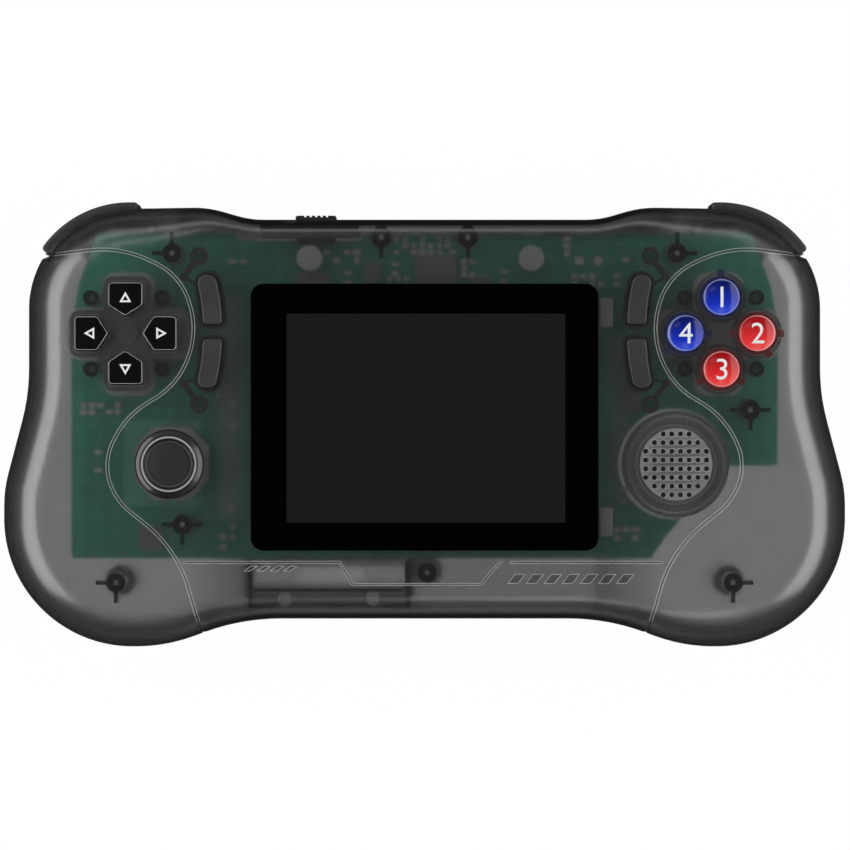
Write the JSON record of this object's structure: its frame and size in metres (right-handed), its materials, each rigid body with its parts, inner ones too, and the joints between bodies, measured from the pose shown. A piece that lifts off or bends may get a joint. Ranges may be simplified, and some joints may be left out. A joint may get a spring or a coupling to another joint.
{
  "type": "handheld game console",
  "caption": "Handheld game console: smoke-clear shell with flared grips round a wide screen, direction pad, thumbstick, face buttons, menu keys, speaker grille and shoulder buttons.",
  "frame": {"origin": "middle of the body's bounding box at its lowest level, the surface the console lies on", "axes": "+X to the right of the screen, +Y to the top edge with the shoulder buttons, +Z out of the screen"},
  "size_m": [0.186, 0.0983, 0.0346],
  "materials": {
    "amber_film": "gloss",
    "black_trim": "matt",
    "blue_button": "gloss",
    "board": "satin",
    "brass": "polished",
    "cell_wrap": "gloss",
    "clear_shell": "smoke-tinted translucent plastic, satin",
    "dark_key": "satin",
    "foam": "matt",
    "gloss_black": "gloss",
    "grey_rubber": "matt",
    "lamp": "gloss",
    "metal": "satin",
    "pale_frame": "matt",
    "panel": "gloss",
    "red_button": "gloss",
    "screen_glass": "gloss black lens",
    "stick_rubber": "matt"
  },
  "bodies": {
    "housing": {"av_jack": "black_trim", "battery": "cell_wrap", "battery_contacts": "brass", "battery_door": "clear_shell", "board_chips": "black_trim", "board_coils": "metal", "board_small_parts": "metal", "button_rubber": "grey_rubber", "case_screws": "metal", "charge_port": "metal", "display_holder": "pale_frame", "display_module": "black_trim", "display_panel": "panel", "display_ribbon": "amber_film", "front_shell": "clear_shell", "holder_pads": "foam", "key_switches": "metal", "main_board": "board", "pad_rubber": "grey_rubber", "power_switch": "metal", "rear_shell": "clear_shell", "ribbon_connector": "pale_frame", "screen_lens": "screen_glass", "shoulder_pins": "metal", "shoulder_switches": "black_trim", "speaker": "black_trim", "speaker_gasket": "foam", "status_lamps": "lamp", "stick_base": "pale_frame"},
    "pad_pivot": {"pad_pivot": "metal"},
    "direction_pad": {"direction_pad": "gloss_black"},
    "button_top": {"button_top": "blue_button"},
    "button_left": {"button_left": "blue_button"},
    "button_bottom": {"button_bottom": "red_button"},
    "button_right": {"button_right": "red_button"},
    "menu_key_upper_left": {"menu_key_upper_left": "dark_key"},
    "menu_key_lower_left": {"menu_key_lower_left": "dark_key"},
    "menu_key_upper_right": {"menu_key_upper_right": "dark_key"},
    "menu_key_lower_right": {"menu_key_lower_right": "dark_key"},
    "stick_yoke": {"stick_yoke": "metal"},
    "thumbstick": {"thumbstick": "stick_rubber"},
    "shoulder_button_left": {"shoulder_button_left": "gloss_black"},
    "shoulder_button_right": {"shoulder_button_right": "gloss_black"},
    "power_slider": {"power_slider": "black_trim"}
  },
  "joints": [
    {"name": "pad_tilt_x", "type": "hinge", "parent": "housing", "child": "pad_pivot", "pos_m": [-0.0652, 0.02, 0.0254], "axis": [1, 0, 0], "range_deg": [-2.12, 2.12], "stiffness_Nm_per_rad": 0.15},
    {"name": "pad_tilt_y", "type": "hinge", "parent": "pad_pivot", "child": "direction_pad", "pos_m": [-0.0652, 0.02, 0.0254], "axis": [0, 1, 0], "range_deg": [-2.12, 2.12], "stiffness_Nm_per_rad": 0.15},
    {"name": "button_top_press", "type": "slide", "parent": "housing", "child": "button_top", "axis": [0, 0, -1], "range_m": [0, 0.0008], "stiffness_N_per_m": 600},
    {"name": "button_left_press", "type": "slide", "parent": "housing", "child": "button_left", "axis": [0, 0, -1], "range_m": [0, 0.0008], "stiffness_N_per_m": 600},
    {"name": "button_bottom_press", "type": "slide", "parent": "housing", "child": "button_bottom", "axis": [0, 0, -1], "range_m": [0, 0.0008], "stiffness_N_per_m": 600},
    {"name": "button_right_press", "type": "slide", "parent": "housing", "child": "button_right", "axis": [0, 0, -1], "range_m": [0, 0.0008], "stiffness_N_per_m": 600},
    {"name": "key_upper_left_press", "type": "hinge", "parent": "housing", "child": "menu_key_upper_left", "pos_m": [-0.0494, 0.037, 0.0272], "axis": [1, 0, 0], "range_deg": [0, 2.6], "stiffness_Nm_per_rad": 0.08},
    {"name": "key_lower_left_press", "type": "hinge", "parent": "housing", "child": "menu_key_lower_left", "pos_m": [-0.0494, 0.0045, 0.0272], "axis": [-1, 0, 0], "range_deg": [0, 2.6], "stiffness_Nm_per_rad": 0.08},
    {"name": "key_upper_right_press", "type": "hinge", "parent": "housing", "child": "menu_key_upper_right", "pos_m": [0.0494, 0.037, 0.0272], "axis": [1, 0, 0], "range_deg": [0, 2.6], "stiffness_Nm_per_rad": 0.08},
    {"name": "key_lower_right_press", "type": "hinge", "parent": "housing", "child": "menu_key_lower_right", "pos_m": [0.0494, 0.0045, 0.0272], "axis": [-1, 0, 0], "range_deg": [0, 2.6], "stiffness_Nm_per_rad": 0.08},
    {"name": "stick_tilt_x", "type": "hinge", "parent": "housing", "child": "stick_yoke", "pos_m": [-0.0555, -0.0085, 0.0237], "axis": [1, 0, 0], "range_deg": [-7.78, 7.78], "stiffness_Nm_per_rad": 0.04},
    {"name": "stick_tilt_y", "type": "hinge", "parent": "stick_yoke", "child": "thumbstick", "pos_m": [-0.0555, -0.0085, 0.0237], "axis": [0, 1, 0], "range_deg": [-7.78, 7.78], "stiffness_Nm_per_rad": 0.04},
    {"name": "shoulder_left_press", "type": "hinge", "parent": "housing", "child": "shoulder_button_left", "pos_m": [-0.0605, 0.0435, 0.0163], "axis": [0, 0, 1], "range_deg": [0, 3], "stiffness_Nm_per_rad": 0.25},
    {"name": "shoulder_right_press", "type": "hinge", "parent": "housing", "child": "shoulder_button_right", "pos_m": [0.0605, 0.0435, 0.0163], "axis": [0, 0, -1], "range_deg": [0, 3], "stiffness_Nm_per_rad": 0.25},
    {"name": "power_slide", "type": "slide", "parent": "housing", "child": "power_slider", "axis": [-1, 0, 0], "range_m": [0, 0.002]}
  ]
}
